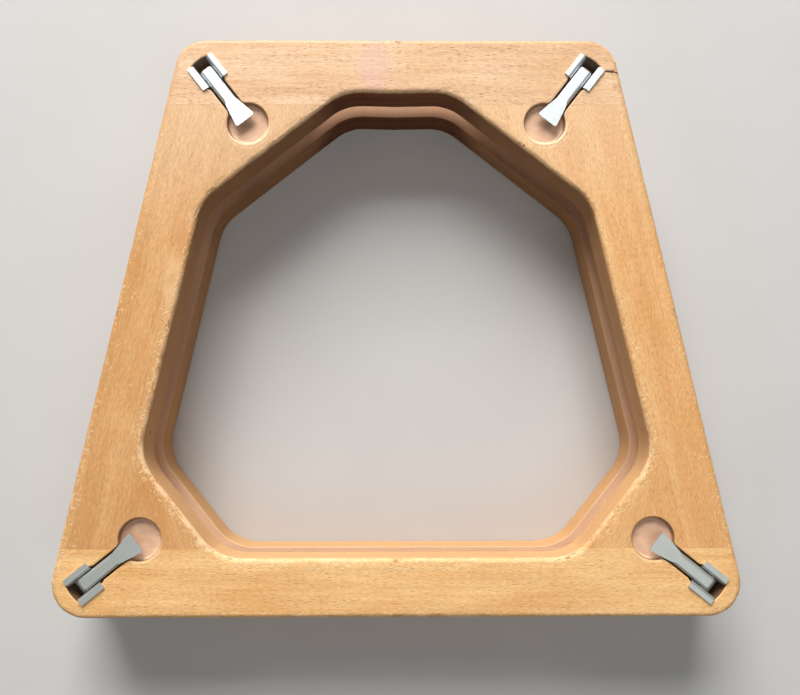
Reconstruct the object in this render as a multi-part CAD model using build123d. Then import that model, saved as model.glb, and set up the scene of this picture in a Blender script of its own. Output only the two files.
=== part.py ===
from build123d import *
from math import asin, atan2, cos, degrees, hypot, radians, sin, sqrt
import os

# A wooden tennis racket press: two trapezoid frames, one above the other, that four cam levers
# pull together at the corners. X runs across the press, +Y points to the narrow end and +Z up.
# The origin is under the middle of the press, on the surface that it rests on. Millimetres.

# Outline of a frame, to its sharp corners
LENGTH = 276.0
WIDE_WIDTH = 327.0
NARROW_WIDTH = 210.5
WIDE_CORNER_RADIUS = 16.0
NARROW_CORNER_RADIUS = 15.0

# The eight-sided opening: half width and Y of its corners on the right, from the narrow end down
OPENING_CORNERS = [(26.0, 111.7), (93.6, 57.9), (120.8, -64.7), (83.0, -111.0)]
OPENING_CORNER_RADIUS = 24.0
NARROW_EDGE_DIP = 0.6
DIP_RADIUS = 40.0

# Wood
FRAME_THICKNESS = 19.0
CLOSED_GAP = 15.0
NARROW_RAIL_WIDTH = 33.0
WIDE_RAIL_WIDTH = 31.5
SIDE_RAIL_WIDTH = 32.0
WORN_EDGE_RADIUS = 2.2
INNER_FACE_EDGE_RADIUS = 0.8

# Where the bolts stand, and which way the levers point, at a narrow and at a wide corner
NARROW_BOLT_INSET = 17.1
WIDE_BOLT_INSET = 16.0
NARROW_LEVER_ANGLE = 52.0
WIDE_LEVER_ANGLE = -38.7

# Along a lever, measured from its bolt, outward being positive
SLOT_OUTER_END = 8.2
SADDLE_OUTER_END = 6.9
SADDLE_INNER_END = -6.0
NARROWING_START = -6.4
NARROWING_END = -7.8
POCKET_INNER_END = -8.0
SLOT_INNER_END = -20.5
NECK = -19.2
LEVER_TIP = -30.2
RECESS_CENTRE = -31.5

# Slot, pocket and finger recess in the upper frame
SLOT_WIDTH = 9.5
ARM_SLOT_WIDTH = 8.2
SLOT_END_BULGE = 0.6
SLOT_END_CORNER_RADIUS = 0.7
RECESS_RADIUS = 10.0
SLOT_DEPTH = 6.5
RECESS_DEPTH = 3.4
RECESS_FLOOR_RADIUS = 1.6
SLOT_MOUTH_RADIUS = 3.0
POCKET_RIM_RADIUS = 0.7

# Saddle, a pressed hat section
SHEET = 1.0
SADDLE_WIDTH = 9.3
SADDLE_SPAN = 14.5
SADDLE_BEND_RADIUS = 1.1
SADDLE_HOLE_RADIUS = 2.4

# Lever, a pressed channel with a flared tab
LEVER_WIDTH = 6.4
LEVER_SHEET = 0.9
LEVER_SHOULDER_RADIUS = 1.5
LEVER_END_RADIUS = 1.8
TAB_ROOT_LENGTH = 3.5
TAB_WIDTH = 10.8
TAB_CORNER_RADIUS = 1.0
LEVER_RISE = 0.9
WEB_ABOVE_PIN = 4.3
SIDE_WALL_HEIGHT = 3.4
LEVER_DEPTH = 12.0
CHEEK_START = -13.0

# The cam is an eccentric disc: its reach below the pin falls from closed to open
CAM_RADIUS = 4.1
CAM_OFFSET = 1.5
CAM_CLEARANCE = 0.2

# Pin, bolt, spring, washer and nut
PIN_RADIUS = 1.25
PIN_LENGTH = 6.8
EYE_CLEARANCE = 0.05
EYE_RADIUS = 3.0
EYE_THICKNESS = 4.2
BOLT_RADIUS = 2.0
BOLT_BOTTOM = 1.2
BOLT_HOLE_RADIUS = 2.4
SPRING_SEAT_RADIUS = 5.6
SPRING_SEAT_DEPTH = 4.0
WIRE_RADIUS = 0.7
SPRING_MEAN_RADIUS = 4.2
SPRING_TURNS = 6
NUT_POCKET_RADIUS = 7.0
NUT_POCKET_DEPTH = 7.0
WASHER_RADIUS = 6.0
WASHER_THICKNESS = 1.0
NUT_ACROSS_FLATS = 7.0
NUT_HEIGHT = 3.2

# A drying split from the right-hand narrow saddle to the side edge, in the upper narrow rail
SPLIT_START = (100.4, 122.3)
SPLIT_END = (113.0, 120.7)
SPLIT_WIDTH = 0.7
SPLIT_DEPTH = 12.0

# Heights
UPPER_BOTTOM = FRAME_THICKNESS + CLOSED_GAP
UPPER_TOP = UPPER_BOTTOM + FRAME_THICKNESS
PIN_HEIGHT = UPPER_TOP + LEVER_RISE - WEB_ABOVE_PIN
SADDLE_FLOOR = PIN_HEIGHT - CAM_RADIUS - CAM_OFFSET - CAM_CLEARANCE
POCKET_DEPTH = UPPER_TOP - SADDLE_FLOOR + SHEET
LOWER_SEAT = FRAME_THICKNESS - SPRING_SEAT_DEPTH
UPPER_SEAT = UPPER_BOTTOM + SPRING_SEAT_DEPTH

# Slope of the sides: how far a side moves in for each millimetre towards the narrow end
SIDE_SLOPE = (WIDE_WIDTH - NARROW_WIDTH) / 2 / LENGTH
HALF_LENGTH = LENGTH / 2
NARROW_JOINT_Y = HALF_LENGTH - NARROW_RAIL_WIDTH
WIDE_JOINT_Y = WIDE_RAIL_WIDTH - HALF_LENGTH


def side_x(y, inset=0.0):
    """X of the line parallel to the right side and inset from it, at this Y."""
    middle = (WIDE_WIDTH + NARROW_WIDTH) / 4
    return middle - SIDE_SLOPE * y - inset * sqrt(1 + SIDE_SLOPE**2)


def corners():
    """Name, bolt position and outward lever angle of the four corners."""
    narrow_y = HALF_LENGTH - NARROW_BOLT_INSET
    wide_y = WIDE_BOLT_INSET - HALF_LENGTH
    narrow_x = side_x(narrow_y, NARROW_BOLT_INSET)
    wide_x = side_x(wide_y, WIDE_BOLT_INSET)
    return [
        ("narrow_left", -narrow_x, narrow_y, 180 - NARROW_LEVER_ANGLE),
        ("narrow_right", narrow_x, narrow_y, NARROW_LEVER_ANGLE),
        ("wide_left", -wide_x, wide_y, 180 - WIDE_LEVER_ANGLE),
        ("wide_right", wide_x, wide_y, WIDE_LEVER_ANGLE),
    ]


def at_corner(shape, x, y, angle):
    """Moves a shape from the lever's own axes to a corner: its X then points outward there."""
    return Location((x, y, 0), (0, 0, angle)) * shape


# ---------- wood ----------


def frame_outline():
    """The trapezoid with its four rounded corners."""
    wide = WIDE_WIDTH / 2
    narrow = NARROW_WIDTH / 2
    points = [(-wide, -HALF_LENGTH), (wide, -HALF_LENGTH), (narrow, HALF_LENGTH), (-narrow, HALF_LENGTH)]
    face = make_face(Polyline(*points, close=True))
    face = fillet(face.vertices().sort_by(Axis.Y)[:2], WIDE_CORNER_RADIUS)
    ends = [v for v in face.vertices() if v.Y > HALF_LENGTH - 1]
    return fillet(ends, NARROW_CORNER_RADIUS)


def frame_opening():
    """The eight-sided opening, with a slight dip in the middle of its narrow edge."""
    right = OPENING_CORNERS
    left = [(-x, y) for x, y in reversed(right)]
    dip = (0.0, right[0][1] - NARROW_EDGE_DIP)
    face = make_face(Polyline(dip, *right, *left, close=True))
    middle = [v for v in face.vertices() if abs(v.X) < 1]
    face = fillet(middle, DIP_RADIUS)
    turns = [v for v in face.vertices() if abs(v.X) > OPENING_CORNERS[0][0] - 1]
    return fillet(turns, OPENING_CORNER_RADIUS)


def blank_frame(bottom, worn_top):
    """One whole frame, with its outer face's edges worn round and its clamping face's eased."""
    blank = extrude(frame_outline() - frame_opening(), FRAME_THICKNESS)
    worn_z, eased_z = (FRAME_THICKNESS, 0) if worn_top else (0, FRAME_THICKNESS)
    blank = fillet(edges_at(blank, worn_z), WORN_EDGE_RADIUS)
    blank = fillet(edges_at(blank, eased_z), INNER_FACE_EDGE_RADIUS)
    return Pos(0, 0, bottom) * blank


def edges_at(solid, z):
    """The edges of a solid that lie at one height."""
    return [e for e in solid.edges() if abs(e.center().Z - z) < 0.01]


def lever_pocket():
    """What is cut away for one lever: the slot, the deep pocket for the saddle and the recess."""
    slot = slot_plan()
    circle = Pos(RECESS_CENTRE, 0) * Circle(RECESS_RADIUS)
    whole = slot + circle
    mouth = [v for v in whole.vertices() if RECESS_CENTRE + 1 < v.X < RECESS_CENTRE + RECESS_RADIUS]
    middle_of_recess = Pos(RECESS_CENTRE, 0) * Circle(RECESS_RADIUS / 2)
    under_lever = Pos(SLOT_INNER_END + LENGTH / 2, 0) * Rectangle(LENGTH, SLOT_WIDTH)
    under_cam = Pos(POCKET_INNER_END + LENGTH / 2, 0) * Rectangle(LENGTH, SLOT_WIDTH)
    return (
        sunk(fillet(mouth, SLOT_MOUTH_RADIUS), RECESS_DEPTH - RECESS_FLOOR_RADIUS)
        + sunk(slot - middle_of_recess, RECESS_DEPTH)
        + sunk(slot & under_lever, SLOT_DEPTH)
        + sunk(slot & under_cam, POCKET_DEPTH)
        + finger_recess()
    )


def slot_plan():
    """The slot in plan: a bulging outer end, the saddle's width, then narrower as far as the recess."""
    half = SLOT_WIDTH / 2
    arm = ARM_SLOT_WIDTH / 2
    shoulder = SLOT_OUTER_END - SLOT_END_BULGE
    left = [(shoulder, half), (NARROWING_START, half), (NARROWING_END, arm), (RECESS_CENTRE, arm)]
    right = [(x, -y) for x, y in reversed(left)]
    sides = Polyline(*left, *right)
    end = ThreePointArc((shoulder, -half), (SLOT_OUTER_END, 0), (shoulder, half))
    slot = make_face(sides + end)
    return fillet([v for v in slot.vertices() if v.X > 0], SLOT_END_CORNER_RADIUS)


def sunk(plan, depth):
    """The space over a plan, from this depth below the upper frame's top to just above it."""
    return Pos(0, 0, UPPER_TOP - depth) * extrude(plan, depth + SHEET)


def finger_recess():
    """A round dished recess, for a fingertip under the lever's tab."""
    dish = sunk(Pos(RECESS_CENTRE, 0) * Circle(RECESS_RADIUS), RECESS_DEPTH)
    return fillet(dish.edges().sort_by(Axis.Z)[0], RECESS_FLOOR_RADIUS)


def pocket_rim(frame, x, y, angle):
    """The edges round one lever's pocket on the top face of the upper frame."""
    turn = radians(angle)
    inner_end = RECESS_CENTRE - RECESS_RADIUS - 1
    rim = []
    for edge in frame.edges():
        middle = edge.center()
        along = (middle.X - x) * cos(turn) + (middle.Y - y) * sin(turn)
        across = (middle.Y - y) * cos(turn) - (middle.X - x) * sin(turn)
        on_top = abs(middle.Z - UPPER_TOP) < 0.01
        if on_top and inner_end < along < SLOT_OUTER_END + 1 and abs(across) < RECESS_RADIUS:
            rim.append(edge)
    return rim


def bolt_hole():
    """A plain hole for a bolt through both frames."""
    return extrude(Circle(BOLT_HOLE_RADIUS), UPPER_TOP)


def upper_frame():
    """The upper frame in one piece, with its pockets, bolt holes, spring seats and split."""
    frame = blank_frame(UPPER_BOTTOM, worn_top=True)
    seat = Pos(0, 0, UPPER_BOTTOM) * extrude(Circle(SPRING_SEAT_RADIUS), SPRING_SEAT_DEPTH)
    for _, x, y, angle in corners():
        frame -= at_corner(lever_pocket(), x, y, angle)
        frame = fillet(pocket_rim(frame, x, y, angle), POCKET_RIM_RADIUS)
        frame -= at_corner(bolt_hole() + seat, x, y, angle)
    return frame - drying_split()


def lower_frame():
    """The lower frame in one piece, with its bolt holes, spring seats and nut pockets."""
    frame = blank_frame(0, worn_top=False)
    seat = Pos(0, 0, LOWER_SEAT) * extrude(Circle(SPRING_SEAT_RADIUS), SPRING_SEAT_DEPTH)
    nut_pocket = extrude(Circle(NUT_POCKET_RADIUS), NUT_POCKET_DEPTH)
    for _, x, y, angle in corners():
        frame -= at_corner(bolt_hole() + seat + nut_pocket, x, y, angle)
    return frame


def drying_split():
    """A thin wedge, open at the side edge and closing towards the saddle."""
    (x0, y0), (x1, y1) = SPLIT_START, SPLIT_END
    half = SPLIT_WIDTH / 2
    wedge = make_face(Polyline((x0, y0), (x1, y1 - half), (x1, y1 + half), close=True))
    return Pos(0, 0, UPPER_TOP - SPLIT_DEPTH) * extrude(wedge, SPLIT_DEPTH + SHEET)


def piece_regions():
    """The plan of each piece of a frame: end rails run right across and side rails fit between."""
    far = WIDE_WIDTH
    top = NARROW_JOINT_Y
    bottom = WIDE_JOINT_Y
    inner_narrow = side_x(top, SIDE_RAIL_WIDTH)
    inner_wide = side_x(bottom, SIDE_RAIL_WIDTH)
    inner_middle = side_x(0, SIDE_RAIL_WIDTH)
    plans = {
        "narrow_rail": [(-far, top), (far, top), (far, far), (-far, far)],
        "wide_rail": [(-far, bottom), (far, bottom), (far, -far), (-far, -far)],
    }
    for side, sign in (("left", -1), ("right", 1)):
        rail = [(inner_wide, bottom), (far, bottom), (far, top), (inner_narrow, top)]
        narrow = [(0, 0), (inner_middle, 0), (inner_narrow, top), (0, top)]
        wide = [(0, 0), (inner_middle, 0), (inner_wide, bottom), (0, bottom)]
        plans[f"{side}_rail"] = [(sign * x, y) for x, y in rail]
        plans[f"narrow_{side}_gusset"] = [(sign * x, y) for x, y in narrow]
        plans[f"wide_{side}_gusset"] = [(sign * x, y) for x, y in wide]
    return plans


def wooden_pieces(frame, prefix):
    """Parts a whole frame at its glue joints."""
    pieces = {}
    for name, plan in piece_regions().items():
        prism = extrude(make_face(Polyline(*plan, close=True)), UPPER_TOP)
        pieces[f"{prefix}_{name}"] = frame & prism
    return pieces


# ---------- steel ----------


def saddle():
    """A hat section: its floor carries the cam, and its two lips lie on the wood."""
    wall = (SADDLE_WIDTH - SHEET) / 2
    lip = SADDLE_SPAN / 2
    floor = SADDLE_FLOOR - SHEET / 2
    top = UPPER_TOP + SHEET / 2
    points = [(-lip, top), (-wall, top), (-wall, floor), (wall, floor), (wall, top), (lip, top)]
    middle_line = FilletPolyline(*points, radius=SADDLE_BEND_RADIUS)
    section = Plane.YZ * trace(middle_line, line_width=SHEET)
    channel = Pos(SADDLE_INNER_END, 0, 0) * extrude(section, SADDLE_OUTER_END - SADDLE_INNER_END)
    return channel - extrude(Circle(SADDLE_HOLE_RADIUS), UPPER_TOP)


def lever_side_view():
    """The lever's cheeks in side view, with the pin at the origin and the cam below it."""
    centre = -CAM_OFFSET
    end = CAM_RADIUS - CAM_OFFSET
    wall_bottom = WEB_ABOVE_PIN - SIDE_WALL_HEIGHT
    run = centre - CHEEK_START
    fall = centre - wall_bottom
    reach = hypot(run, fall)
    slant = atan2(fall, run) - asin(CAM_RADIUS / reach)
    tangent = sqrt(reach**2 - CAM_RADIUS**2)
    touch = (CHEEK_START + tangent * cos(slant), wall_bottom + tangent * sin(slant))
    cam = CenterArc((centre, centre), CAM_RADIUS, 0, degrees(slant) - 90)
    rest = Polyline(
        touch,
        (CHEEK_START, wall_bottom),
        (NECK + SHEET, wall_bottom),
        (NECK, wall_bottom + SHEET),
        (NECK, WEB_ABOVE_PIN),
        (end, WEB_ABOVE_PIN),
        (end, centre),
    )
    return make_face(cam + rest)


def lever():
    """A channel with a cam at the bottom of each cheek, and a flat flared tab to lift."""
    side = Plane.XZ * lever_side_view()
    body = extrude(side, LEVER_WIDTH / 2, both=True)
    end_edges = body.edges().filter_by(Axis.Z).sort_by(Axis.X)[-2:]
    body = fillet(end_edges, LEVER_END_RADIUS)
    body = fillet(long_top_edges(body), LEVER_SHOULDER_RADIUS)
    inside_width = LEVER_WIDTH - 2 * LEVER_SHEET
    web_bottom = WEB_ABOVE_PIN - LEVER_SHEET
    inside = Pos(0, 0, web_bottom) * extrude(Rectangle(LENGTH, inside_width), -LEVER_DEPTH)
    inside = fillet(long_top_edges(inside), LEVER_SHOULDER_RADIUS - LEVER_SHEET)
    body -= inside
    body -= Plane.XZ * extrude(Circle(PIN_RADIUS), LEVER_WIDTH, both=True)
    return Pos(0, 0, PIN_HEIGHT) * (body + lever_tab(web_bottom))


def long_top_edges(solid):
    """The edges along X at the top of a solid."""
    top = solid.bounding_box().max.Z
    straight = [e for e in edges_at(solid, top) if e.geom_type == GeomType.LINE]
    return [e for e in straight if abs(e.tangent_at(0).X) > 0.99]


def lever_tab(web_bottom):
    """The flared tab, as thick as the sheet, from the neck to the tip."""
    neck = LEVER_WIDTH / 2
    tip = TAB_WIDTH / 2
    root = (NECK + TAB_ROOT_LENGTH, neck - LEVER_SHOULDER_RADIUS)
    upper = [root, (NECK, neck), (LEVER_TIP, tip)]
    lower = [(x, -y) for x, y in reversed(upper)]
    plan = make_face(Polyline(*upper, *lower, close=True))
    plan = fillet(plan.vertices().sort_by(Axis.X)[:2], TAB_CORNER_RADIUS)
    return Pos(0, 0, web_bottom) * extrude(plan, LEVER_SHEET)


def lever_pin():
    """The hinge pin, riveted into the lever's cheeks."""
    return Pos(0, 0, PIN_HEIGHT) * (Plane.XZ * extrude(Circle(PIN_RADIUS), PIN_LENGTH / 2, both=True))


def tie_bolt():
    """A long bolt with a forged eye for the pin."""
    shank_top = PIN_HEIGHT - (EYE_RADIUS + PIN_RADIUS + EYE_CLEARANCE) / 2
    shank = Pos(0, 0, BOLT_BOTTOM) * extrude(Circle(BOLT_RADIUS), shank_top - BOLT_BOTTOM)
    eye = Pos(0, 0, PIN_HEIGHT) * (Plane.XZ * extrude(Circle(EYE_RADIUS), EYE_THICKNESS / 2, both=True))
    hole_radius = PIN_RADIUS + EYE_CLEARANCE
    hole = Pos(0, 0, PIN_HEIGHT) * (Plane.XZ * extrude(Circle(hole_radius), EYE_THICKNESS, both=True))
    return shank + eye - hole


def compression_spring():
    """A round-wire spring between the seats in the two frames."""
    height = UPPER_SEAT - LOWER_SEAT - 2 * WIRE_RADIUS - 0.1
    path = Helix(pitch=height / SPRING_TURNS, height=height, radius=SPRING_MEAN_RADIUS)
    section = Plane(origin=path @ 0, z_dir=path % 0) * Circle(WIRE_RADIUS)
    return Pos(0, 0, LOWER_SEAT + WIRE_RADIUS + 0.05) * sweep(section, path=path, is_frenet=True)


def washer():
    """A flat washer against the top of the nut pocket."""
    ring = Circle(WASHER_RADIUS) - Circle(BOLT_HOLE_RADIUS)
    return Pos(0, 0, NUT_POCKET_DEPTH - WASHER_THICKNESS) * extrude(ring, WASHER_THICKNESS)


def nut():
    """A hexagon nut under the washer."""
    hexagon = RegularPolygon(NUT_ACROSS_FLATS / 2, 6, major_radius=False) - Circle(BOLT_RADIUS)
    top = NUT_POCKET_DEPTH - WASHER_THICKNESS
    return Pos(0, 0, top - NUT_HEIGHT) * extrude(hexagon, NUT_HEIGHT)


def steel_pieces():
    """The seven pieces of hardware at each corner."""
    kinds = {
        "lever": lever(),
        "lever_pin": lever_pin(),
        "saddle": saddle(),
        "tie_bolt": tie_bolt(),
        "spring": compression_spring(),
        "washer": washer(),
        "nut": nut(),
    }
    return {
        f"{kind}_{corner}": at_corner(shape, x, y, angle)
        for kind, shape in kinds.items()
        for corner, x, y, angle in corners()
    }


def main():
    os.makedirs("parts", exist_ok=True)
    pieces = wooden_pieces(upper_frame(), "upper")
    pieces.update(wooden_pieces(lower_frame(), "lower"))
    pieces.update(steel_pieces())
    for name, shape in pieces.items():
        export_step(shape, f"parts/{name}.step")


main()
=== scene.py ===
import math
import random

import bmesh
import bpy
import numpy as np
from mathutils import Matrix, Vector, noise


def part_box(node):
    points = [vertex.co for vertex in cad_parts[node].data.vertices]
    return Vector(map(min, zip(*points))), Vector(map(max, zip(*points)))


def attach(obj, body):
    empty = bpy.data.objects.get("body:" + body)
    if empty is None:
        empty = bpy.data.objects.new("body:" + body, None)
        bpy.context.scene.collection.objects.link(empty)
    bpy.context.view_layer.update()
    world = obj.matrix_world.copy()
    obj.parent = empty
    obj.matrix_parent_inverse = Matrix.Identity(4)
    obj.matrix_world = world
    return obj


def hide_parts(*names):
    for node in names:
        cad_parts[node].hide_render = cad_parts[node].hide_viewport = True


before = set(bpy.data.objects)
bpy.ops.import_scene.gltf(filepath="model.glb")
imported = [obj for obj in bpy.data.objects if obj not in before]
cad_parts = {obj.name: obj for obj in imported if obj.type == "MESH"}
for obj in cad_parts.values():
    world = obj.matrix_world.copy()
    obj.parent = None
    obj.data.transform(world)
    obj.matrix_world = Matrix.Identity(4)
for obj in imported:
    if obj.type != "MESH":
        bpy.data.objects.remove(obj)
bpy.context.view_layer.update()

MM = 0.001
SHARP_ANGLE = math.radians(32)

CORNERS = ("narrow_left", "narrow_right", "wide_left", "wide_right")
WOOD = (
    "narrow_rail", "wide_rail", "left_rail", "right_rail",
    "narrow_left_gusset", "narrow_right_gusset", "wide_left_gusset", "wide_right_gusset",
)

# The frame's plan in mm, as the CAD has it: sharp corners and their rounding
WIDE_HALF, NARROW_HALF, LENGTH_HALF = 163.5, 105.25, 138
OUTLINE = [
    (-WIDE_HALF, -LENGTH_HALF, 16), (WIDE_HALF, -LENGTH_HALF, 16),
    (NARROW_HALF, LENGTH_HALF, 15), (-NARROW_HALF, LENGTH_HALF, 15),
]
OPENING_RIGHT = [(26.0, 111.7), (93.6, 57.9), (120.8, -64.7), (83.0, -111.0)]
DIP = (0.0, 111.1, 40)
OPENING = [(x, y, 24) for x, y in OPENING_RIGHT] + [(-x, y, 24) for x, y in reversed(OPENING_RIGHT)] + [DIP]
SIDE_SLOPE = (WIDE_HALF - NARROW_HALF) / (2 * LENGTH_HALF)
SIDE_LEAN = math.degrees(math.atan(SIDE_SLOPE))
UPPER_TOP, THICKNESS = 53.0, 19.0

# Where the rails meet the gussets and each other
NARROW_JOINT_Y, WIDE_JOINT_Y, SIDE_RAIL_WIDTH = 105, -106.5, 32

# ---------- plan geometry ----------


def rounded(corners, step):
    """Points in mm round a polygon whose corners (x, y, radius) are rounded, about a step apart."""
    out = []
    count = len(corners)
    for i in range(count):
        x, y, radius = corners[i]
        here = Vector((x, y))
        before = (Vector(corners[i - 1][:2]) - here).normalized()
        after = (Vector(corners[(i + 1) % count][:2]) - here).normalized()
        half = before.angle(after) / 2
        centre = here + (before + after).normalized() * (radius / math.sin(half))
        start = here + before * (radius / math.tan(half))
        end = here + after * (radius / math.tan(half))
        a0 = math.atan2(*(start - centre).yx)
        turn = (math.atan2(*(end - centre).yx) - a0 + math.pi) % (2 * math.pi) - math.pi
        parts = max(4, int(abs(turn) * radius / step))
        out += [centre + radius * Vector((math.cos(a0 + turn * k / parts), math.sin(a0 + turn * k / parts)))
                for k in range(parts + 1)]
    return np.array([tuple(p) for p in out])


def distance_to(path, points):
    """Distance in mm from each plan point to a closed path, and the nearest place on it."""
    best = np.full(len(points), 1e9)
    near = np.zeros((len(points), 2))
    for a, b in zip(path, np.roll(path, -1, axis=0)):
        run = b - a
        length = run @ run
        if length < 1e-9:
            continue
        t = np.clip(((points - a) @ run) / length, 0, 1)
        spot = a + t[:, None] * run
        d = np.hypot(*(points - spot).T)
        closer = d < best
        best[closer] = d[closer]
        near[closer] = spot[closer]
    return best, near


ANGLES = {"narrow_left": 128, "narrow_right": 52, "wide_left": 218.7, "wide_right": -38.7}
BOLTS = {
    corner: [(lo + hi) / 2 / MM for lo, hi in zip(*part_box(f"nut_{corner}"))][:2] for corner in CORNERS
}
RECESS_FROM_BOLT = 31.5
RECESS_RADIUS = 10.0
RECESS_FLOOR = 49.6
RECESSES = []
for corner, (x, y) in BOLTS.items():
    turn = math.radians(ANGLES[corner])
    RECESSES.append((x - RECESS_FROM_BOLT * math.cos(turn), y - RECESS_FROM_BOLT * math.sin(turn)))
SPLIT = np.array([(100.4, 122.3), (113.0, 120.7)])
OUTER_PATH = rounded(OUTLINE, 2.0)
INNER_PATH = rounded(OPENING, 2.0)

# ---------- node graphs ----------


class Graph:
    """Short calls that add nodes to a material."""

    def __init__(self, name):
        self.material = bpy.data.materials.new(name)
        self.material.use_nodes = True
        self.tree = self.material.node_tree
        self.tree.nodes.clear()
        self.out = self.node("ShaderNodeOutputMaterial")
        self.shader = self.node("ShaderNodeBsdfPrincipled")
        self.link(self.shader.outputs[0], self.out.inputs["Surface"])

    def node(self, kind, **settings):
        made = self.tree.nodes.new(kind)
        for key, value in settings.items():
            setattr(made, key, value)
        return made

    def link(self, source, target):
        self.tree.links.new(source, target)

    def feed(self, socket, value):
        """Links a socket, or sets a plain value."""
        if isinstance(value, bpy.types.NodeSocket):
            self.link(value, socket)
        elif isinstance(value, (tuple, list)) and socket.type == "RGBA" and len(value) == 3:
            socket.default_value = (*value, 1)
        else:
            socket.default_value = value

    def maths(self, operation, a, b=0.0):
        made = self.node("ShaderNodeMath", operation=operation)
        self.feed(made.inputs[0], a)
        self.feed(made.inputs[1], b)
        return made.outputs[0]

    def vector(self, operation, a, b=(0, 0, 0)):
        made = self.node("ShaderNodeVectorMath", operation=operation)
        self.feed(made.inputs[0], a)
        self.feed(made.inputs[1], b)
        return made.outputs["Value" if operation in ("LENGTH", "DOT_PRODUCT") else "Vector"]

    def product(self, *values):
        made = values[0]
        for value in values[1:]:
            made = self.maths("MULTIPLY", made, value)
        return made

    def total(self, *values):
        made = values[0]
        for value in values[1:]:
            made = self.maths("ADD", made, value)
        return made

    def swing(self, value, middle, amount):
        """How far a value is from its middle, times an amount."""
        return self.product(self.maths("SUBTRACT", value, middle), amount)

    def grain_space(self, angle, offset=(0, 0, 0)):
        """Object coordinates in mm, turned so that X runs along a grain at this angle to the row's X."""
        place = self.node("ShaderNodeTexCoord").outputs["Object"]
        turned = self.node("ShaderNodeVectorRotate", rotation_type="Z_AXIS")
        self.feed(turned.inputs["Vector"], place)
        turned.inputs["Angle"].default_value = -math.radians(angle)
        large = self.vector("MULTIPLY", turned.outputs[0], (1000, 1000, 1000))
        return self.vector("ADD", large, offset)

    def noise(self, place, size, detail=2.0, roughness=0.5, distortion=0.0):
        """Noise whose features measure size, one number or one for each axis, in mm."""
        size = size if isinstance(size, tuple) else (size, size, size)
        scaled = self.vector("DIVIDE", place, size)
        made = self.node("ShaderNodeTexNoise", noise_dimensions="3D")
        self.feed(made.inputs["Vector"], scaled)
        made.inputs["Scale"].default_value = 1.0
        made.inputs["Detail"].default_value = detail
        made.inputs["Roughness"].default_value = roughness
        made.inputs["Distortion"].default_value = distortion
        return made.outputs["Fac"]

    def cells(self, place, size):
        """Scattered cells of this size in mm: the distance from each middle, and a colour for each cell."""
        scaled = self.vector("DIVIDE", place, size)
        made = self.node("ShaderNodeTexVoronoi", voronoi_dimensions="3D", feature="F1")
        self.feed(made.inputs["Vector"], scaled)
        made.inputs["Scale"].default_value = 1.0
        return made.outputs["Distance"], made.outputs["Color"]

    def ramp(self, value, low, high, to_low=0.0, to_high=1.0):
        made = self.node("ShaderNodeMapRange", interpolation_type="SMOOTHSTEP")
        self.feed(made.inputs["Value"], value)
        made.inputs["From Min"].default_value = low
        made.inputs["From Max"].default_value = high
        made.inputs["To Min"].default_value = to_low
        made.inputs["To Max"].default_value = to_high
        return made.outputs[0]

    def mix(self, amount, a, b, blend="MIX"):
        made = self.node("ShaderNodeMix", data_type="RGBA", blend_type=blend)
        self.feed(made.inputs["Factor"], amount)
        self.feed(made.inputs["A"], a)
        self.feed(made.inputs["B"], b)
        return made.outputs["Result"]

    def attribute(self, name):
        return self.node("ShaderNodeAttribute", attribute_name=name).outputs["Fac"]

    def blob(self, place, centre, size, low=0.4, high=1.0):
        """1 in the middle of a soft oval spot and 0 outside it."""
        away = self.vector("DIVIDE", self.vector("SUBTRACT", place, centre), size)
        return self.ramp(self.vector("LENGTH", away), low, high, 1.0, 0.0)

    def bump(self, height, strength, distance):
        made = self.node("ShaderNodeBump")
        made.inputs["Strength"].default_value = strength
        made.inputs["Distance"].default_value = distance
        self.feed(made.inputs["Height"], height)
        return made.outputs["Normal"]

    def finish(self, color, roughness, normal, **fixed):
        self.feed(self.shader.inputs["Base Color"], color)
        self.feed(self.shader.inputs["Roughness"], roughness)
        self.feed(self.shader.inputs["Normal"], normal)
        for key, value in fixed.items():
            self.shader.inputs[key.replace("_", " ")].default_value = value
        return self.material


# ---------- wood ----------


def tinted(tone, by):
    """A colour times a number for each channel."""
    return tuple(min(1.0, c * k) for c, k in zip(tone, by))


def grain(g, place, light, dark, streaks):
    """Broad bands, growth lines and fine pores. Gives the colour and the three noises used again later."""
    broad = g.noise(place, (110.0, 12.0, 12.0), 3.0, 0.55, 0.4)
    growth = g.noise(place, (90.0, 1.9, 2.6), 4.0, 0.65, 0.6)
    fine = g.noise(place, (9.0, 0.35, 0.35), 2.0, 0.6)
    blotch = g.noise(place, (34.0, 20.0, 20.0), 2.0, 0.5)
    warm = tinted(dark, (0.97, 0.82, 0.62))
    pale = tinted(light, (1.06, 1.12, 1.16))
    color = g.mix(g.ramp(broad, 0.36, 0.66), light, dark)
    color = g.mix(g.ramp(blotch, 0.45, 0.75, 0.0, 0.7 * streaks), color, warm)
    color = g.mix(g.ramp(growth, 0.48, 0.74, 0.0, 0.75 * streaks), color, warm)
    color = g.mix(g.ramp(growth, 0.46, 0.26, 0.0, 0.6 * streaks), color, pale)
    color = g.mix(g.ramp(fine, 0.46, 0.74, 0.0, 0.6), color, warm)
    return color, broad, growth, fine


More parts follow.
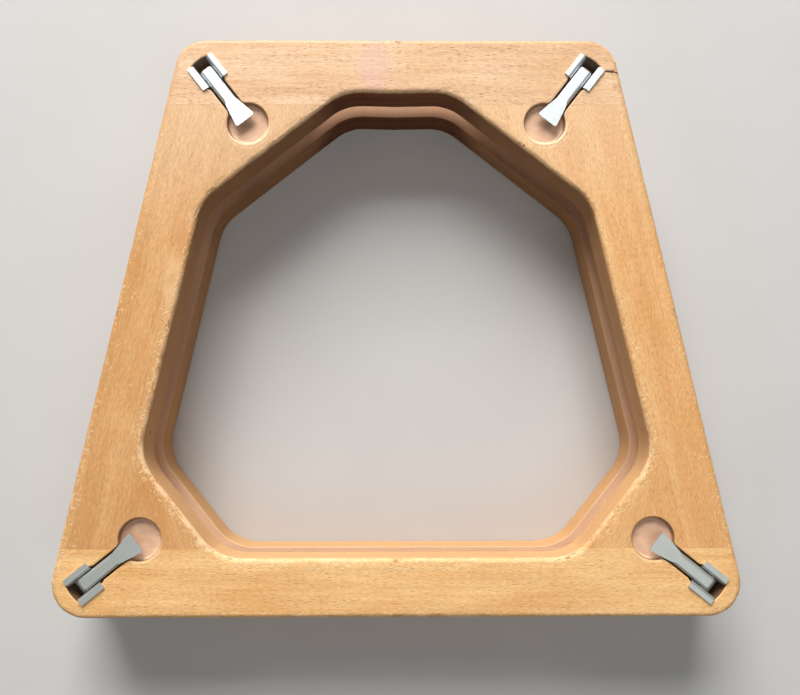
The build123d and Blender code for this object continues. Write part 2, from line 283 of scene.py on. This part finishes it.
def ray_flecks(g, place):
    """Short flecks along the grain, in clusters, and finer ones between them."""
    away, tint = g.cells(place, (3.6, 0.7, 0.7))
    kept = g.ramp(g.vector("DOT_PRODUCT", tint, (1, 0, 0)), 0.40, 0.46)
    clusters = g.ramp(g.noise(place, (26.0, 7.0, 7.0), 1.0), 0.38, 0.6, 0.35, 1.0)
    large = g.product(g.ramp(away, 0.2, 0.42, 1.0, 0.0), kept, clusters)
    away, tint = g.cells(g.vector("ADD", place, (7.3, 1.7, 0.4)), (1.8, 0.4, 0.4))
    kept = g.ramp(g.vector("DOT_PRODUCT", tint, (0, 1, 0)), 0.35, 0.5)
    small = g.product(g.ramp(away, 0.1, 0.32, 1.0, 0.0), kept)
    return large, small


def worn_through(g, fray, patch):
    """Where the varnish has gone: ragged worn edges, and short scratches crowded near them."""
    wear = g.attribute("wear")
    solid = g.total(wear, g.swing(fray, 0.5, 1.1), g.swing(patch, 0.5, 1.2))
    bare = g.ramp(solid, 0.66, 0.82, 0.0, 0.85)
    crowd = g.total(g.product(wear, 0.95), g.product(g.attribute("rubbed"), 0.12), g.swing(patch, 0.52, 0.9))
    for turn, length, width in ((28.0, 4.4, 0.75), (-36.0, 3.0, 0.65), (74.0, 2.6, 0.8)):
        away, tint = g.cells(g.grain_space(turn, (turn, 3.0, 1.0)), (length, width, width))
        chance = g.total(g.vector("DOT_PRODUCT", tint, (1, 0, 0)), crowd)
        torn = g.total(away, g.swing(fray, 0.5, 0.5))
        scratch = g.product(g.ramp(torn, 0.20, 0.42, 1.0, 0.0), g.ramp(chance, 0.98, 1.06))
        bare = g.maths("MAXIMUM", bare, g.product(scratch, g.ramp(crowd, 0.0, 0.25)))
    return bare


def inner_faces(g, color, plain, broad, fine):
    """Adds the opening's walls with painted shade and the hidden faces, pinkish wood in the recesses with
    painted shade on their walls and a painted shadow under each tab, and grime with painted shade in the
    slots.
    """
    normal = g.node("ShaderNodeNewGeometry").outputs["Normal"]
    flat = g.ramp(g.vector("DOT_PRODUCT", normal, (0, 0, 1)), 0.5, 0.9)
    hidden = g.mix(fine, (0.72, 0.43, 0.22), (0.62, 0.34, 0.15))
    hidden = g.mix(flat, hidden, (0.76, 0.52, 0.36))
    color = g.mix(g.product(g.attribute("inside"), 0.75), color, hidden)
    # Painted shade: the opening's walls and the strips beside them darkened, most where they face away from
    # the light.
    wall_shade_tone = g.mix(g.ramp(broad, 0.3, 0.7), (0.15, 0.050, 0.016), (0.075, 0.025, 0.009))
    color = g.mix(g.attribute("wall"), color, wall_shade_tone)

    mottle = g.ramp(g.noise(plain, (7.0, 4.0, 4.0), 3.0), 0.3, 0.7)
    pink = g.mix(mottle, (0.62, 0.36, 0.25), (0.74, 0.48, 0.32))
    # Painted shade: the recess walls darker than their floor.
    pink = g.mix(g.ramp(flat, 0.0, 1.0, 0.6, 0.0), pink, (0.22, 0.11, 0.07))
    for x, y in RECESSES:
        # Painted shadow of each lever's tab on the recess floor, stronger in the narrow corners.
        tab_shadow = g.blob(plain, (x, y + 1.0, RECESS_FLOOR), (6.5, 5.5, 3.0), 0.2, 1.0)
        pink = g.mix(g.product(tab_shadow, 0.55 if y > 0 else 0.2), pink, (0.24, 0.12, 0.08))
    color = g.mix(g.product(g.attribute("raw"), 0.9), color, pink)
    # Grime with painted shade: the lever slots darkened, and the recess walls more faintly.
    return g.mix(g.product(g.attribute("grime_and_shade"), 0.9), color, (0.15, 0.08, 0.045))


def ring_marks_and_highlight(g, color, plain):
    """Adds pale arcs on the top face, on the side of each recess that faces the wide end: ring marks, with a
    painted highlight where that rim faces the light.
    """
    height_over = g.vector("DOT_PRODUCT", plain, (0, 0, 1))
    for x, y in RECESSES:
        from_middle = g.vector("MULTIPLY", g.vector("SUBTRACT", plain, (x, y, 0)), (1, 1, 0))
        away = g.vector("LENGTH", from_middle)
        lower = g.ramp(g.vector("DOT_PRODUCT", from_middle, (0.25, -0.95, 0)), 1.0, 8.0)
        band = g.product(g.ramp(away, 6.6, 8.0), g.ramp(away, 13.0, 11.6))
        wobble = g.product(g.noise(plain, 3.5, 2.0), 6.0)
        arcs = g.ramp(g.maths("SINE", g.total(g.product(away, 3.4), wobble)), -0.6, 0.9)
        ring = g.product(band, lower, arcs, g.ramp(height_over, 46.0, 48.0))
        # Painted highlight on the lit rim, stronger at the narrow corners.
        color = g.mix(g.product(ring, 0.75 if y > 0 else 0.3), color, (0.88, 0.70, 0.46))
    return color


def wood(name, angle, light, dark, flecks, streaks, seed, marks):
    """Varnished beech, with the grain at an angle to X. The mesh's masks say where it is worn or dirty, and
    where shade is painted.
    """
    g = Graph(name)
    place = g.grain_space(angle, (seed * 37.0, seed * 11.0, seed * 5.0))
    plain = g.grain_space(0)
    color, broad, growth, fine = grain(g, place, light, dark, streaks)

    # Side pieces are paler towards the narrow end
    if angle:
        up = g.vector("DOT_PRODUCT", plain, (0, 1, 0))
        color = g.mix(g.ramp(up, 25.0, 115.0, 0.0, 0.5), color, (0.77, 0.54, 0.34))

    # Short fibres a little lighter and darker than the rest, dark ray flecks and the joints' thin lines
    fibre = g.noise(place, (2.4, 0.32, 0.32), 3.0, 0.7)
    color = g.mix(1.0, color, g.ramp(fibre, 0.30, 0.70, 0.82, 1.17), "MULTIPLY")
    deep = tinted(dark, (0.58, 0.40, 0.28))
    large, small = ray_flecks(g, place)
    color = g.mix(g.product(large, flecks), color, deep)
    color = g.mix(g.product(small, flecks * 0.6), color, deep)
    color = g.mix(g.ramp(g.attribute("joint"), 0.84, 0.97, 0.0, 0.5), color, deep)

    # Browner varnish along the outer edges, then bare, paler wood where it has worn through
    gold = g.ramp(g.attribute("gold"), 0.05, 1.0)
    color = g.mix(g.product(gold, 0.55), color, (0.56, 0.29, 0.10))
    fray = g.noise(plain, 0.7, 4.0, 0.8)
    bare = worn_through(g, fray, g.noise(plain, 7.0, 3.0))
    color = g.mix(g.product(bare, 0.72), color, g.mix(fray, (0.78, 0.52, 0.27), (0.88, 0.67, 0.42)))

    color = inner_faces(g, color, plain, broad, fine)
    color = ring_marks_and_highlight(g, color, plain)
    color = g.mix(g.ramp(g.attribute("split"), 0.55, 0.95), color, (0.10, 0.038, 0.016))
    for centre, size, tone, strength in marks:
        ragged = g.ramp(g.noise(plain, min(5.0, *size), 3.0), 0.3, 0.6, 0.4, 1.0)
        color = g.mix(g.product(g.blob(plain, centre, size), ragged, strength), color, tone)

    waves = g.noise(place, (60.0, 7.0, 7.0), 2.0)
    height = g.total(g.product(waves, 1.2), g.product(growth, 0.12), g.product(fibre, 0.08))
    height = g.total(height, g.product(large, -0.14), g.product(bare, -0.22))
    rough = g.total(g.ramp(growth, 0.3, 0.8, 0.42, 0.54), g.product(bare, 0.25))
    away_from_light = g.maths("MAXIMUM", g.attribute("inside"), g.attribute("wall"))
    g.feed(g.shader.inputs["Specular IOR Level"], g.ramp(away_from_light, 0.0, 0.5, 0.42, 0.06))
    return g.finish(color, rough, g.bump(height, 0.6, 0.0006))


def plain_bare_wood():
    """Fresh, paler wood inside a chip."""
    g = Graph("bare_wood")
    place = g.grain_space(0)
    tone = g.noise(place, 0.8, 3.0, 0.6)
    color = g.mix(tone, (0.66, 0.42, 0.22), (0.82, 0.60, 0.36))
    return g.finish(color, 0.72, g.bump(g.noise(place, 0.4, 3.0), 0.4, 0.0002))


bare_wood = plain_bare_wood()

LIGHT_NARROW, DARK_NARROW = (0.73, 0.49, 0.30), (0.64, 0.39, 0.22)
LIGHT_WIDE, DARK_WIDE = (0.80, 0.50, 0.22), (0.71, 0.40, 0.16)
# Painted shade: the left pieces take a darker copy of the right pieces' wood, for the left side getting less
# light.
LIGHT_LEFT_SHADED, DARK_LEFT_SHADED = (0.64, 0.36, 0.155), (0.56, 0.29, 0.11)
LIGHT_RIGHT, DARK_RIGHT = (0.73, 0.43, 0.19), (0.65, 0.34, 0.13)

# Marks on single pieces: centre, size, colour and strength
LILAC = ((-11, 125, 53), (11, 17, 8), (0.66, 0.40, 0.36), 0.5)
SCUFF = ((-106, 18, 53), (7, 22, 5), (0.80, 0.56, 0.30), 0.4)
PINHOLE = ((-118.2, -53, 43), (0.9, 0.9, 1.2), (0.03, 0.015, 0.01), 0.95)

# The material's name, the grain's angle, light and dark, flecks, streaks, seed and marks
WOODS = {
    "narrow_rail": ("wood_narrow", 0, LIGHT_NARROW, DARK_NARROW, 0.7, 0.45, 1.0, (LILAC,)),
    "wide_rail": ("wood_wide", 0, LIGHT_WIDE, DARK_WIDE, 0.42, 0.6, 2.0, ()),
    "left_rail": ("wood_left", 90 - SIDE_LEAN, LIGHT_LEFT_SHADED, DARK_LEFT_SHADED, 0.2, 0.8, 3.0, (SCUFF, PINHOLE)),
    "right_rail": ("wood_right", 90 + SIDE_LEAN, LIGHT_RIGHT, DARK_RIGHT, 0.3, 0.7, 4.0, ()),
    "narrow_left_gusset": ("wood_gusset_nl", 76, LIGHT_LEFT_SHADED, DARK_LEFT_SHADED, 0.25, 0.6, 5.0, ()),
    "narrow_right_gusset": ("wood_gusset_nr", -76, LIGHT_RIGHT, DARK_RIGHT, 0.25, 0.6, 6.0, ()),
    "wide_left_gusset": ("wood_gusset_wl", -70, LIGHT_LEFT_SHADED, DARK_LEFT_SHADED, 0.25, 0.6, 7.0, ()),
    "wide_right_gusset": ("wood_gusset_wr", 70, LIGHT_RIGHT, DARK_RIGHT, 0.25, 0.6, 8.0, ()),
}


def welded_copy(node):
    """A bmesh of a CAD node with its split vertices joined again."""
    bm = bmesh.new()
    bm.from_mesh(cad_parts[node].data)
    bmesh.ops.remove_doubles(bm, verts=bm.verts, dist=2e-6)
    bmesh.ops.dissolve_degenerate(bm, edges=bm.edges, dist=1e-7)
    return bm


def gridded(bm, spacing):
    """Cuts a mesh by planes across X and Y, so that its faces are small enough to shape."""
    lo = [min(v.co[i] for v in bm.verts) for i in range(3)]
    hi = [max(v.co[i] for v in bm.verts) for i in range(3)]
    for axis in (0, 1):
        normal = Vector((1, 0, 0)) if axis == 0 else Vector((0, 1, 0))
        first = math.ceil(lo[axis] / spacing + 0.2)
        last = math.floor(hi[axis] / spacing - 0.2)
        for k in range(first, last + 1):
            bmesh.ops.bisect_plane(bm, geom=bm.verts[:] + bm.edges[:] + bm.faces[:], dist=1e-6,
                                   plane_co=normal * (k * spacing), plane_no=normal)


def add_chip(bm, dice, path, outward, upper):
    """Adds one lumpy gouge in the wood outward or inward of an edge, at a random place along it."""
    steps = np.hypot(*(np.roll(path, -1, axis=0) - path).T)
    along = dice.uniform(0, steps.sum())
    i = int(np.searchsorted(np.cumsum(steps), along)) % len(path)
    a, b = Vector(path[i]), Vector(path[(i + 1) % len(path)])
    run = (b - a).normalized()
    side = Vector((run.y, -run.x))
    if (side.dot(a) > 0) != outward:
        side = -side
    size = dice.random() ** 2
    half = Vector((0.6 + 2.4 * size, 0.3 + 0.5 * size, 0.25 + 0.4 * size))
    spot = a.lerp(b, 0.5) + side * dice.uniform(0.35, 1.5)
    depth = dice.uniform(0.05, 0.9)
    centre = Vector((*spot, UPPER_TOP - depth if upper else depth))
    lump = bmesh.ops.create_icosphere(bm, subdivisions=2, radius=1.0)["verts"]
    turn = math.atan2(run.y, run.x) + dice.uniform(-0.35, 0.35)
    tilt = Matrix.Rotation(turn, 4, "Z") @ Matrix.Rotation(dice.uniform(-0.5, 0.5), 4, "X")
    for v in lump:
        bumpy = v.co * dice.uniform(0.78, 1.12)
        v.co = (tilt @ Vector(u * h for u, h in zip(bumpy, half)) + centre) * MM


def chip_mesh(prefix):
    """Small irregular gouges along the worn edges of one frame, as one mesh to cut away."""
    upper = prefix == "upper"
    dice = random.Random(11 if upper else 12)
    bm = bmesh.new()
    inner_count, outer_count = (150, 120) if upper else (30, 50)
    for path, count, outward in ((INNER_PATH, inner_count, True), (OUTER_PATH, outer_count, False)):
        for _ in range(count):
            add_chip(bm, dice, path, outward, upper)
    for face in bm.faces:
        face.material_index = 1
    mesh = bpy.data.meshes.new(f"chips_{prefix}")
    bm.to_mesh(mesh)
    bm.free()
    mesh.materials.append(None)
    mesh.materials.append(bare_wood)
    return bpy.data.objects.new(f"chips_{prefix}", mesh)


def chipped(piece, chips):
    """The piece's mesh with the chips cut out of it; the cuts keep the chips' own material."""
    scene = bpy.context.scene.collection
    scene.objects.link(chips)
    cut = piece.modifiers.new("chips", "BOOLEAN")
    cut.operation = "DIFFERENCE"
    cut.solver = "MANIFOLD"
    cut.material_mode = "INDEX"
    cut.object = chips
    bpy.context.view_layer.update()
    mesh = bpy.data.meshes.new_from_object(piece.evaluated_get(bpy.context.evaluated_depsgraph_get()))
    piece.modifiers.remove(cut)
    scene.objects.unlink(chips)
    piece.data = mesh
    return mesh


def worn_edges(bm, upper):
    """Presses the long edges of the face that shows inwards a little, unevenly."""
    bm.verts.ensure_lookup_table()
    co = np.array([v.co for v in bm.verts]) / MM
    down = np.abs(co[:, 2] - (UPPER_TOP if upper else 0.0))
    level = Vector((0, 0, -1 if upper else 1))
    reach = 3.3
    for path, scale in ((OUTER_PATH, 0.26), (INNER_PATH, 0.42)):
        d, near = distance_to(path, co[:, :2])
        for i in np.nonzero((d < reach) & (down < reach))[0]:
            p = Vector(co[i])
            amount = noise.fractal(p / 9.0, 0.8, 2.1, 3) * 0.6 + noise.fractal(p / 2.4, 0.9, 2.0, 2) * 0.5
            inward = Vector((*(co[i, :2] - near[i]), 0))
            inward = inward.normalized() if inward.length > 0.05 else Vector((0, 0, 0))
            fade = min(1.0, (1 - d[i] / reach) * (1 - down[i] / reach) * 3.0)
            bm.verts[i].co += (inward + level) * (max(0.0, amount + 0.1) * scale * fade * MM)


def between(value, zero, one):
    """0 where the value is at zero, 1 where it is at one, and even in between."""
    return np.clip((value - zero) / (one - zero), 0, 1)


def wear_masks(x, y, outer, inner, down):
    """Worn edges round the opening and the outside, and rubbed faces beside them, most at the wide end."""
    to_wide = between(y, 65, -45)
    to_left = between(x, 30, -30)
    near_top = between(down, 3.2, 1.6)
    reach = 3.2 + 2.4 * to_wide
    rim = 0.48 + 0.22 * to_wide + 0.12 * to_left * to_wide + 0.22 * to_left * between(y, 60, 80)
    rim = between(inner, 1.1 * reach, 0.1 * reach) * near_top * rim
    side = between(outer, 4.4, 0.4) * near_top * (0.40 + 0.30 * between(y, -10, -70))
    rubbed = np.maximum(between(outer, 18, 0), between(inner, 9, 0)) * (down < 2) * (0.35 + 0.65 * to_wide)
    return np.maximum(rim, side), np.maximum(rubbed, 0.8 * (outer < 0.6))


def painted_wall_shade(x, y, z, inner, down, upper):
    """Painted shade: how dark the opening's walls are painted, most at the narrow end, which faces away from
    the light, and low on the lower frame's walls; also the strips beside them that face the gap or the
    floor.
    """
    to_left = between(x, 30, -30)
    diagonal = between(np.abs(x), 30, 45)
    depth = 0.10 + (0.22 + 0.06 * to_left) * between(y, -80, -20)
    depth += between(y, 35, 65) * (0.60 - 0.28 * diagonal)
    if not upper:
        depth += between(z, THICKNESS, 0) * np.minimum(between(y, -80, 80), 0.3) * (1 - diagonal)
    on_wall = between(inner, 1.2, 0.4) * between(down, 0.8, 2.0)

    # Painted shade on the strips of the face that meets the other frame, at the sides, the diagonals and the
    # narrow end, where little light gets in through the gap.
    hidden_face = down > THICKNESS - 0.5
    shaded = np.maximum(between(y, 98, 86), diagonal)
    strip = hidden_face * between(inner, 14, 0) * between(y, -70, -30) * shaded
    strip = strip * (0.35 + 0.45 * between(y, 40, 70))
    strip = np.maximum(strip, hidden_face * (y > 60) * 0.75 * between(inner, 6, 0))
    return np.maximum(np.clip(on_wall * depth, 0, 1), strip)


def joint_mask(x, y, inner, down):
    """1 on the thin lines of the joints between rails and gussets, on the face that shows."""
    side_edge = (WIDE_HALF + NARROW_HALF) / 2 - y * SIDE_SLOPE
    from_side = np.abs(side_edge - np.abs(x)) * math.cos(math.radians(SIDE_LEAN))
    across = (np.abs(y - NARROW_JOINT_Y) < 0.05) | (np.abs(y - WIDE_JOINT_Y) < 0.05)
    along = (np.abs(from_side - SIDE_RAIL_WIDTH) < 0.05) & (inner > 0.1)
    return (across | along) & (down < 0.3)


def masks_for(co, upper):
    """Numbers from 0 to 1 for each point, in mm, of a wooden piece, for its material."""
    x, y, z = co.T
    outer = distance_to(OUTER_PATH, co[:, :2])[0]
    inner = distance_to(INNER_PATH, co[:, :2])[0]
    down = np.abs(z - (UPPER_TOP if upper else 0.0))
    wear, rubbed = wear_masks(x, y, outer, inner, down)
    from_recess = np.min([np.hypot(x - u, y - v) for u, v in RECESSES], axis=0)
    in_cut = (outer > 3.2) & (inner > 3.2) & (down > 0.5) & (down < THICKNESS - 1) & upper
    in_recess = from_recess < RECESS_RADIUS + 0.4
    recess_wall = (from_recess > RECESS_RADIUS - 0.8) & (down < 4.6)
    return {
        "wear": wear,
        "gold": between(outer, 3.8, 0.6) * (down < 6),
        "rubbed": rubbed,
        "wall": painted_wall_shade(x, y, z, inner, down, upper),
        "inside": ((down > THICKNESS - 1) & (outer > 0.9)) | ((inner < 0.64) & (down > 2.0)),
        "raw": in_cut & in_recess,
        # Grime with painted shade in the lever slots, fainter on the recess walls.
        "grime_and_shade": np.maximum(in_cut & ~in_recess, 0.3 * (in_cut & recess_wall)),
        "joint": joint_mask(x, y, inner, down),
        "split": (distance_to(SPLIT, co[:, :2])[0] < 0.45) & upper,
    }


def worn_wood(prefix, part, chips):
    """A wooden piece copied from the CAD, with uneven worn edges and masks for its material."""
    node = f"{prefix}_{part}"
    upper = prefix == "upper"
    bm = welded_copy(node)
    gridded(bm, (2.0) * MM)
    worn_edges(bm, upper)
    mesh = bpy.data.meshes.new(f"wood_{node}")
    for face in bm.faces:
        face.smooth = True
    for edge in bm.edges:
        if len(edge.link_faces) == 2 and edge.calc_face_angle() > SHARP_ANGLE:
            edge.smooth = False
    bm.to_mesh(mesh)
    bm.free()
    mesh.materials.append(wood_materials[part])
    mesh.materials.append(bare_wood)
    piece = bpy.data.objects.new(f"worn_{node}", mesh)
    bpy.context.scene.collection.objects.link(piece)
    mesh = chipped(piece, chips)
    co = np.array([v.co for v in mesh.vertices]) / MM
    for name, values in masks_for(co, upper).items():
        layer = mesh.attributes.new(name, "FLOAT", "POINT")
        layer.data.foreach_set("value", np.asarray(values, dtype=np.float32))
    evened = piece.modifiers.new("evened", "WEIGHTED_NORMAL")
    evened.keep_sharp = True
    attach(piece, f"{prefix}_frame")
    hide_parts(node)


wood_materials = {part: wood(*settings) for part, settings in WOODS.items()}
for prefix in ("upper", "lower"):
    chips = chip_mesh(prefix)
    for part in WOOD:
        worn_wood(prefix, part, chips)

# ---------- steel ----------


def steel(name, base, dark, roughness, brushed_along=0.0, metallic=0.9, grime=0.4):
    """Dull plated steel: brushed along its length, lightly scratched, with grime in places."""
    g = Graph(name)
    place = g.grain_space(brushed_along)
    mottle = g.noise(place, (5.0, 1.6, 1.6), 4.0, 0.6)
    fine = g.noise(place, 0.5, 3.0, 0.65)
    brushed = g.noise(place, (9.0, 0.16, 0.16), 3.0, 0.6)
    color = g.mix(g.ramp(mottle, 0.35, 0.7), base, tinted(base, (0.97, 0.97, 0.97)))
    color = g.mix(g.ramp(brushed, 0.45, 0.72, 0.0, 0.4), color, tinted(base, (0.86, 0.86, 0.86)))
    color = g.mix(g.ramp(brushed, 0.42, 0.28, 0.0, 0.6), color, tinted(base, (1.16, 1.16, 1.16)))
    color = g.mix(g.ramp(fine, 0.56, 0.8, 0.0, grime), color, dark)
    height = g.total(g.product(fine, 0.3), g.product(brushed, 0.35))
    rough = g.ramp(mottle, 0.3, 0.75, roughness - 0.02, roughness + 0.04)
    return g.finish(color, rough, g.bump(height, 0.35, 0.00012), Metallic=metallic)


def soft_edges(node, width):
    """Rounds a steel part's sharp edges by a fraction of a millimetre."""
    bevel = node.modifiers.new("soft_edges", "BEVEL")
    bevel.width = width * MM
    bevel.segments = 2
    bevel.limit_method = "ANGLE"
    bevel.angle_limit = math.radians(40)


def paint(node, metal):
    node.data.materials.clear()
    node.data.materials.append(metal)


bright = steel("bright_steel", (0.58, 0.57, 0.55), (0.22, 0.18, 0.14), 0.34, 0.0, 0.95, 0.5)
spring_metal = steel("spring_steel", (0.40, 0.40, 0.40), (0.14, 0.11, 0.09), 0.38, 0.0, 0.95, 0.5)
for corner in CORNERS:
    # Painted reflection: the narrow corners' levers and saddles get a lighter, cooler copy of the plating
    # for the window light on their tops; the wide corners keep the plain plating.
    plate_and_reflection = (0.70, 0.74, 0.76) if "narrow" in corner else (0.61, 0.63, 0.60)
    zinc = steel(f"zinc_{corner}", plate_and_reflection, (0.28, 0.28, 0.26), 0.48, ANGLES[corner])
    for kind in ("lever", "saddle"):
        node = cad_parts[f"{kind}_{corner}"]
        paint(node, zinc)
        soft_edges(node, 0.14)
    for kind in ("lever_pin", "tie_bolt", "washer", "nut"):
        paint(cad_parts[f"{kind}_{corner}"], bright)
    paint(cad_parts[f"spring_{corner}"], spring_metal)

# ---------- floor, light and camera ----------


def pale_floor():
    mesh = bpy.data.meshes.new("floor")
    far = 3.0
    corners = [(-far, -far, 0), (far, -far, 0), (far, far, 0), (-far, far, 0)]
    mesh.from_pydata(corners, [], [(0, 1, 2, 3)])
    floor = bpy.data.objects.new("floor", mesh)
    floor.location.z = -0.2 * MM
    bpy.context.scene.collection.objects.link(floor)
    g = Graph("floor")
    tone = g.noise(g.grain_space(0), 60.0, 2.0)
    color = g.mix(tone, (0.50, 0.49, 0.485), (0.54, 0.53, 0.525))
    mesh.materials.append(g.finish(color, 0.8, g.bump(tone, 0.02, 0.001)))


def area_light(name, place, size, power, tint):
    """A soft box that faces the object."""
    data = bpy.data.lights.new(name, "AREA")
    data.shape = "RECTANGLE"
    data.size, data.size_y = size
    data.energy = power
    data.color = tint
    lamp = bpy.data.objects.new(name, data)
    lamp.location = place
    lamp.rotation_mode = "QUATERNION"
    lamp.rotation_quaternion = (Vector((0, 0, 0.03)) - Vector(place)).to_track_quat("-Z", "Y")
    bpy.context.scene.collection.objects.link(lamp)


def studio():
    area_light("window", (-0.35, 2.2, 1.75), (1.6, 1.5), 112, (1.0, 0.98, 0.95))
    area_light("low_window", (-0.3, 1.7, 0.55), (1.4, 0.7), 16, (1.0, 0.98, 0.95))
    area_light("ceiling", (0.25, -0.7, 1.9), (1.6, 1.2), 9, (0.97, 1.0, 0.99))
    world = bpy.data.worlds.new("room")
    bpy.context.scene.world = world
    world.use_nodes = True
    world.node_tree.nodes["Background"].inputs["Color"].default_value = (0.86, 0.90, 0.92, 1)
    world.node_tree.nodes["Background"].inputs["Strength"].default_value = 0.17


def photo_camera():
    """Nearly straight above, 43 cm up, leaning a little towards the narrow end."""
    data = bpy.data.cameras.new("camera")
    data.sensor_width = 36
    data.lens = 36
    data.clip_start = 0.01
    camera = bpy.data.objects.new("camera", data)
    turn = (Matrix.Rotation(math.radians(0.05), 4, "Z") @ Matrix.Rotation(math.radians(0.38), 4, "Y")
            @ Matrix.Rotation(math.radians(-4.70), 4, "X"))
    camera.matrix_world = Matrix.Translation((-0.00092, -0.04403, 0.430)) @ turn.transposed()
    bpy.context.scene.collection.objects.link(camera)
    bpy.context.scene.camera = camera


pale_floor()
studio()
photo_camera()
bpy.context.scene.view_settings.view_transform = "Standard"
bpy.context.view_layer.update()
